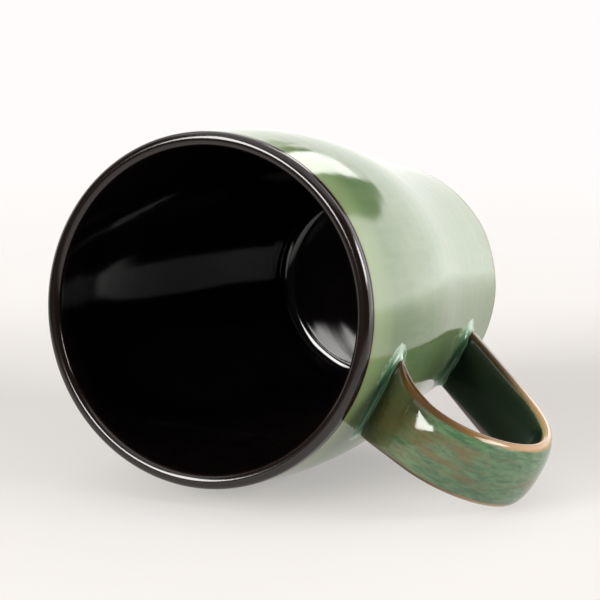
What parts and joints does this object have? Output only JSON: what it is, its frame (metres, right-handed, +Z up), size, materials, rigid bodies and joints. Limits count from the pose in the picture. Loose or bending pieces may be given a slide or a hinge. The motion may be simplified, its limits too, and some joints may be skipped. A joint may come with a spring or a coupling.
{
  "type": "stoneware mug",
  "caption": "Hand-thrown stoneware mug with a pulled strap handle, a dark glossy liner over the lip and a pale green outer glaze above a bare foot ring.",
  "frame": {"origin": "on the mug's axis, in the plane that the foot ring stands on", "axes": "+Z up the mug's axis and out of its mouth, -Y towards the handle, +X to the right of the handle as seen from above the mouth with the handle nearest"},
  "size_m": [0.089, 0.1293, 0.122],
  "materials": {
    "fired_clay": "bare fired stoneware, matt and slightly gritty",
    "black_glaze": "high gloss",
    "celadon_glaze": "high gloss, pale green, clouded",
    "handle_glaze": "high gloss, green breaking to brown on the edges",
    "pooled_glaze": "high gloss, thick blue-green"
  },
  "bodies": {
    "root": {"thrown_body": "fired_clay", "strap_handle": "fired_clay", "liner_glaze": "black_glaze", "outer_glaze": "celadon_glaze", "handle_glaze": "handle_glaze", "upper_glaze_pool": "pooled_glaze", "lower_glaze_pool": "pooled_glaze"}
  },
  "joints": []
}
